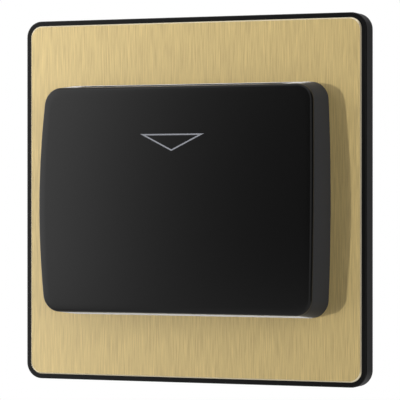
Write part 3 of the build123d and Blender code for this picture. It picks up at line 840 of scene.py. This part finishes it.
returnSpring = makeSpring()
smoothTo(returnSpring, spring["smooth"])
dress(returnSpring, "spring_steel")
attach(returnSpring, "switch_base")
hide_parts("return_spring")
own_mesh(returnSpring)
print("spring done:", len(returnSpring.data.polygons))


# Stage: white surroundings, a pale floor, a curtain that only gloss sees, and two lamps

stage = {
    "skyForLight": 0.5,
    "floorZ": -0.45,
    "floorSize": 5.0,
    "floorTone": 0.9,
    "floorWhite": 0.85,
    "floorGlossWhite": 0.45,
    "curtainRadius": 1.5,
    "curtainTall": 3.4,
    "curtainSides": 144,
    "curtainEnds": (-75, 168),
    "curtainPeak": 3.6,
    "curtainTones": [(-75, 2.4), (-45, 3.1), (-38, 3.6), (-33, 2.3), (-29, 0.95), (-24, 0.32),
                     (-16, 0.1), (-8, 0.02), (2, 0.01), (10, 0.1), (18, 1.1), (45, 1.1),
                     (58, 0.2), (75, 0.07), (168, 0.08)],
    "key": {"azimuth": -25.0, "rise": -0.6, "angle": 2.0, "strength": 2.04},
    "fill": {"azimuth": 50.0, "rise": 8.0, "angle": 60.0, "strength": 1.85},
    "flagPlace": (0.045, -0.056, -0.056),
    "flagSize": (0.25, 0.1, 1.0),
    "flagTone": 0.02,
}


def makeSky():
    # white to the camera and in reflections, dimmer as a light
    world = bpy.data.worlds.new("studio")
    scene.world = world
    wire = emptyTree(world)
    shown = (wire.ray("Camera") + wire.ray("Glossy") + wire.ray("Transmission")).clamped()
    strength = stage["skyForLight"] + shown * (1 - stage["skyForLight"])
    light = wire.node("Background", None, {"Color": grey(1.0), "Strength": strength})
    wire.node("OutputWorld", None, {"Surface": light})


def makeFloor():
    # mostly white to the camera, so that only a faint shadow is left on it
    deselectAll()
    bpy.ops.mesh.primitive_plane_add(size=stage["floorSize"], location=(0, 0, stage["floorZ"]))
    floor = newest("floor")
    applyPlace(floor)
    material, wire = startMaterial("floorPaper")
    matt = wire.node("BsdfDiffuse", None, {"Color": grey(stage["floorTone"])})
    white = wire.node("Emission", None, {"Color": grey(1.0), "Strength": 1.0})
    shown = ((wire.ray("Camera") + wire.ray("Transmission")) * stage["floorWhite"]
             + wire.ray("Glossy") * stage["floorGlossWhite"])
    endMaterial(wire, wire.node("MixShader", None, {0: shown, 1: matt, 2: white}))
    floor.data.materials.append(material)


def makeCurtain():
    # a bright panel to the left, a dark gap in front and a soft panel to the right
    low, high = stage["curtainEnds"]
    deselectAll()
    bpy.ops.mesh.primitive_cylinder_add(vertices=stage["curtainSides"],
                                        radius=stage["curtainRadius"],
                                        depth=stage["curtainTall"], end_fill_type="NOTHING")
    curtain = newest("curtain")
    selectFaces(curtain, lambda centre, normal: not math.radians(low)
                < math.atan2(centre.x, -centre.y) < math.radians(high))
    bpy.ops.mesh.delete(type="FACE")
    objectMode()
    material, wire = startMaterial("curtainPaper")
    azimuth = wire.maths("ARCTAN2", wire.along("X"), wire.along("Y") * -1)
    share = (azimuth - math.radians(low)) / math.radians(high - low)
    stops = [((at - low) / (high - low), grey(tone / stage["curtainPeak"]))
             for at, tone in stage["curtainTones"]]
    light = wire.node("ValToRGB", {"stops": stops}, {"Fac": share})
    endMaterial(wire, wire.node("Emission", None,
                                {"Color": light, "Strength": stage["curtainPeak"]}))
    curtain.data.materials.append(material)
    curtain.visible_camera = False
    curtain.visible_shadow = False
    curtain.visible_diffuse = False


def makeLamp(name, look):
    # a distant lamp that leaves no glint of its own
    deselectAll()
    bpy.ops.object.light_add(type="SUN")
    lamp = newest(name)
    lamp.rotation_euler = (math.radians(90 - look["rise"]), 0, math.radians(look["azimuth"]))
    lamp.data.energy = look["strength"]
    lamp.data.angle = math.radians(look["angle"])
    lamp.visible_glossy = False


def makeFlag():
    # a dark card below the plate and before it keeps the floor's light off the lower brass
    deselectAll()
    bpy.ops.mesh.primitive_plane_add(size=1, location=stage["flagPlace"])
    flag = newest("flag")
    flag.scale = stage["flagSize"]
    applyPlace(flag)
    material, wire = startMaterial("flagFelt")
    endMaterial(wire, wire.node("BsdfDiffuse", None, {"Color": grey(stage["flagTone"])}))
    flag.data.materials.append(material)
    flag.visible_camera = False
    flag.visible_glossy = False
    flag.visible_shadow = False


makeSky()
makeFloor()
makeCurtain()
makeFlag()
makeLamp("key", stage["key"])
makeLamp("fill", stage["fill"])
print("stage set")


# Camera: level with the switch, 22 degrees to its right, with a long lens

view = {
    "azimuth": 22.0,
    "place": (235.0 * mm, -586.8 * mm, 0.0),
    "lens": 217.6,
    "sensor": 36,
    "shiftX": 0.0204,
    "shiftY": -0.0002,
    "farEnd": 100,
}


def makeCamera():
    deselectAll()
    bpy.ops.object.camera_add(location=view["place"],
                              rotation=(math.radians(90), 0, math.radians(view["azimuth"])))
    camera = newest("camera")
    camera.data.lens = view["lens"]
    camera.data.sensor_width = view["sensor"]
    camera.data.shift_x = view["shiftX"]
    camera.data.shift_y = view["shiftY"]
    camera.data.clip_end = view["farEnd"]
    scene.camera = camera


makeCamera()
scene.view_settings.view_transform = "Standard"
deselectAll()

print("scene done")
